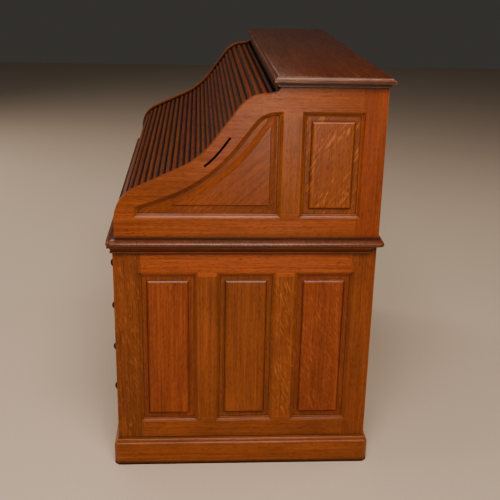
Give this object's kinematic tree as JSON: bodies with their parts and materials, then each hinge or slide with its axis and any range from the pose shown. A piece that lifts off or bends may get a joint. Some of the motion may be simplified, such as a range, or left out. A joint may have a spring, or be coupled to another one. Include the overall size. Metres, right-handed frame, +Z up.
{
  "type": "roll top desk",
  "caption": "Oak pedestal desk with an S-shaped slatted roll top, panelled sides and back, drawers with drop handles, and pigeonholes inside.",
  "frame": {"origin": "on the floor, below the middle of the desk's overall box", "axes": "+X to the sitter's right, +Y to the desk's back, +Z up"},
  "size_m": [1.444, 0.8328, 1.2477],
  "materials": {
    "oak_frame": "quarter-sawn oak, red-brown shellac, satin",
    "oak_panel": "quarter-sawn oak panel with ray fleck, satin shellac",
    "oak_top": "dark oak, polished",
    "oak_slat": "dark oak slat, satin",
    "oak_drawer": "oak drawer front, satin shellac, plain lining",
    "oak_interior": "oak, thin finish",
    "bronze": "dark patinated bronze",
    "brass": "aged brass"
  },
  "bodies": {
    "carcass": {"plinth_right": "oak_frame", "plinth_left": "oak_frame", "side_frame_right": "oak_frame", "side_frame_left": "oak_frame", "side_panels_right": "oak_panel", "side_panels_left": "oak_panel", "kneehole_sides": "oak_frame", "pedestal_floors": "oak_interior", "drawer_rails": "oak_frame", "drawer_runners": "oak_interior", "back_frame": "oak_frame", "back_panels": "oak_panel", "bed_moulding": "oak_frame", "desktop": "oak_top", "lock_strike": "brass", "gable_frame_right": "oak_frame", "gable_frame_left": "oak_frame", "gable_panels_right": "oak_panel", "gable_panels_left": "oak_panel", "top_board": "oak_top", "head_rail": "oak_slat", "upper_back_frame": "oak_frame", "upper_back_panels": "oak_panel", "pigeonhole_case": "oak_interior", "pigeonhole_dividers": "oak_interior"},
    "drawer_right_1": {"drawer_right_1": "oak_drawer", "pull_right_1": "bronze"},
    "bail_right_1": {"bail_right_1": "bronze"},
    "drawer_right_2": {"drawer_right_2": "oak_drawer", "pull_right_2": "bronze"},
    "bail_right_2": {"bail_right_2": "bronze"},
    "drawer_right_3": {"drawer_right_3": "oak_drawer", "pull_right_3": "bronze"},
    "bail_right_3": {"bail_right_3": "bronze"},
    "drawer_right_4": {"drawer_right_4": "oak_drawer", "pull_right_4": "bronze"},
    "bail_right_4": {"bail_right_4": "bronze"},
    "drawer_left_1": {"drawer_left_1": "oak_drawer", "pull_left_1": "bronze"},
    "bail_left_1": {"bail_left_1": "bronze"},
    "drawer_left_2": {"drawer_left_2": "oak_drawer", "pull_left_2": "bronze"},
    "bail_left_2": {"bail_left_2": "bronze"},
    "drawer_left_3": {"drawer_left_3": "oak_drawer", "pull_left_3": "bronze"},
    "bail_left_3": {"bail_left_3": "bronze"},
    "drawer_centre": {"drawer_centre": "oak_drawer", "pull_centre": "bronze"},
    "bail_centre": {"bail_centre": "bronze"},
    "lead_rail": {"lead_rail": "oak_slat", "roll_lock": "brass", "finger_lifts": "bronze"},
    "slats_1": {"slats_1": "oak_slat"},
    "slats_2": {"slats_2": "oak_slat"},
    "slats_3": {"slats_3": "oak_slat"},
    "slats_4": {"slats_4": "oak_slat"},
    "slats_5": {"slats_5": "oak_slat"},
    "slats_6": {"slats_6": "oak_slat"},
    "slats_7": {"slats_7": "oak_slat"},
    "slats_8": {"slats_8": "oak_slat"}
  },
  "joints": [
    {"name": "drawer_right_1_slide", "type": "slide", "parent": "carcass", "child": "drawer_right_1", "axis": [0, -1, 0], "range_m": [0, 0.45]},
    {"name": "bail_right_1_hinge", "type": "hinge", "parent": "drawer_right_1", "child": "bail_right_1", "pos_m": [0.497, -0.406, 0.64375], "axis": [-1, 0, 0], "range_deg": [0, 80]},
    {"name": "drawer_right_2_slide", "type": "slide", "parent": "carcass", "child": "drawer_right_2", "axis": [0, -1, 0], "range_m": [0, 0.45]},
    {"name": "bail_right_2_hinge", "type": "hinge", "parent": "drawer_right_2", "child": "bail_right_2", "pos_m": [0.497, -0.406, 0.49725], "axis": [-1, 0, 0], "range_deg": [0, 80]},
    {"name": "drawer_right_3_slide", "type": "slide", "parent": "carcass", "child": "drawer_right_3", "axis": [0, -1, 0], "range_m": [0, 0.45]},
    {"name": "bail_right_3_hinge", "type": "hinge", "parent": "drawer_right_3", "child": "bail_right_3", "pos_m": [0.497, -0.406, 0.35075], "axis": [-1, 0, 0], "range_deg": [0, 80]},
    {"name": "drawer_right_4_slide", "type": "slide", "parent": "carcass", "child": "drawer_right_4", "axis": [0, -1, 0], "range_m": [0, 0.45]},
    {"name": "bail_right_4_hinge", "type": "hinge", "parent": "drawer_right_4", "child": "bail_right_4", "pos_m": [0.497, -0.406, 0.20425], "axis": [-1, 0, 0], "range_deg": [0, 80]},
    {"name": "drawer_left_1_slide", "type": "slide", "parent": "carcass", "child": "drawer_left_1", "axis": [0, -1, 0], "range_m": [0, 0.45]},
    {"name": "bail_left_1_hinge", "type": "hinge", "parent": "drawer_left_1", "child": "bail_left_1", "pos_m": [-0.497, -0.406, 0.64375], "axis": [-1, 0, 0], "range_deg": [0, 80]},
    {"name": "drawer_left_2_slide", "type": "slide", "parent": "carcass", "child": "drawer_left_2", "axis": [0, -1, 0], "range_m": [0, 0.45]},
    {"name": "bail_left_2_hinge", "type": "hinge", "parent": "drawer_left_2", "child": "bail_left_2", "pos_m": [-0.497, -0.406, 0.49725], "axis": [-1, 0, 0], "range_deg": [0, 80]},
    {"name": "drawer_left_3_slide", "type": "slide", "parent": "carcass", "child": "drawer_left_3", "axis": [0, -1, 0], "range_m": [0, 0.45]},
    {"name": "bail_left_3_hinge", "type": "hinge", "parent": "drawer_left_3", "child": "bail_left_3", "pos_m": [-0.497, -0.406, 0.2775], "axis": [-1, 0, 0], "range_deg": [0, 80]},
    {"name": "drawer_centre_slide", "type": "slide", "parent": "carcass", "child": "drawer_centre", "axis": [0, -1, 0], "range_m": [0, 0.32]},
    {"name": "bail_centre_hinge", "type": "hinge", "parent": "drawer_centre", "child": "bail_centre", "pos_m": [0, -0.406, 0.6874], "axis": [-1, 0, 0], "range_deg": [0, 80]},
    {"name": "roll_top", "type": "hinge", "parent": "carcass", "child": "lead_rail", "pos_m": [0, 0.13703, 0.63975], "axis": [-1, 0, 0], "range_deg": [0, 58.49]},
    {"name": "roll_section_1", "type": "hinge", "parent": "carcass", "child": "slats_1", "pos_m": [0, 0.44072, 0.17877], "axis": [-1, 0, 0], "range_deg": [0, 28.84], "deforming": ["slats_1"]},
    {"name": "roll_section_2", "type": "hinge", "parent": "carcass", "child": "slats_2", "pos_m": [0, 0.53793, 0.02058], "axis": [-1, 0, 0], "range_deg": [0, 24.51], "deforming": ["slats_2"]},
    {"name": "roll_section_3", "type": "hinge", "parent": "carcass", "child": "slats_3", "pos_m": [0, 0.53793, 0.02058], "axis": [-1, 0, 0], "range_deg": [0, 24.51], "deforming": ["slats_3"]},
    {"name": "roll_section_4", "type": "hinge", "parent": "carcass", "child": "slats_4", "pos_m": [0, 0.35716, 0.41774], "axis": [-1, 0, 0], "range_deg": [0, 38.5], "deforming": ["slats_4"]},
    {"name": "roll_section_5", "type": "hinge", "parent": "carcass", "child": "slats_5", "pos_m": [0, 0.17023, 0.91897], "axis": [-1, 0, 0], "range_deg": [0, 109.97], "deforming": ["slats_5"]},
    {"name": "roll_section_6", "type": "hinge", "parent": "carcass", "child": "slats_6", "pos_m": [0, 0.15329, 1.00332], "axis": [-1, 0, 0], "range_deg": [0, 143.53], "deforming": ["slats_6"]},
    {"name": "roll_section_7", "type": "hinge", "parent": "carcass", "child": "slats_7", "pos_m": [0, 0.14957, 0.99166], "axis": [-1, 0, 0], "range_deg": [0, 137.34], "deforming": ["slats_7"]},
    {"name": "roll_section_8", "type": "hinge", "parent": "carcass", "child": "slats_8", "pos_m": [0, 0.08589, 0.8948], "axis": [-1, 0, 0], "range_deg": [0, 92.26], "deforming": ["slats_8"]}
  ],
  "couplings": [
    {"joint": "roll_section_1", "follows": "roll_top", "ratio": 0.49278},
    {"joint": "roll_section_2", "follows": "roll_top", "ratio": 0.41864},
    {"joint": "roll_section_3", "follows": "roll_top", "ratio": 0.41864},
    {"joint": "roll_section_4", "follows": "roll_top", "ratio": 0.65787},
    {"joint": "roll_section_5", "follows": "roll_top", "ratio": 1.8797},
    {"joint": "roll_section_6", "follows": "roll_top", "ratio": 2.4535},
    {"joint": "roll_section_7", "follows": "roll_top", "ratio": 2.3478},
    {"joint": "roll_section_8", "follows": "roll_top", "ratio": 1.577}
  ]
}
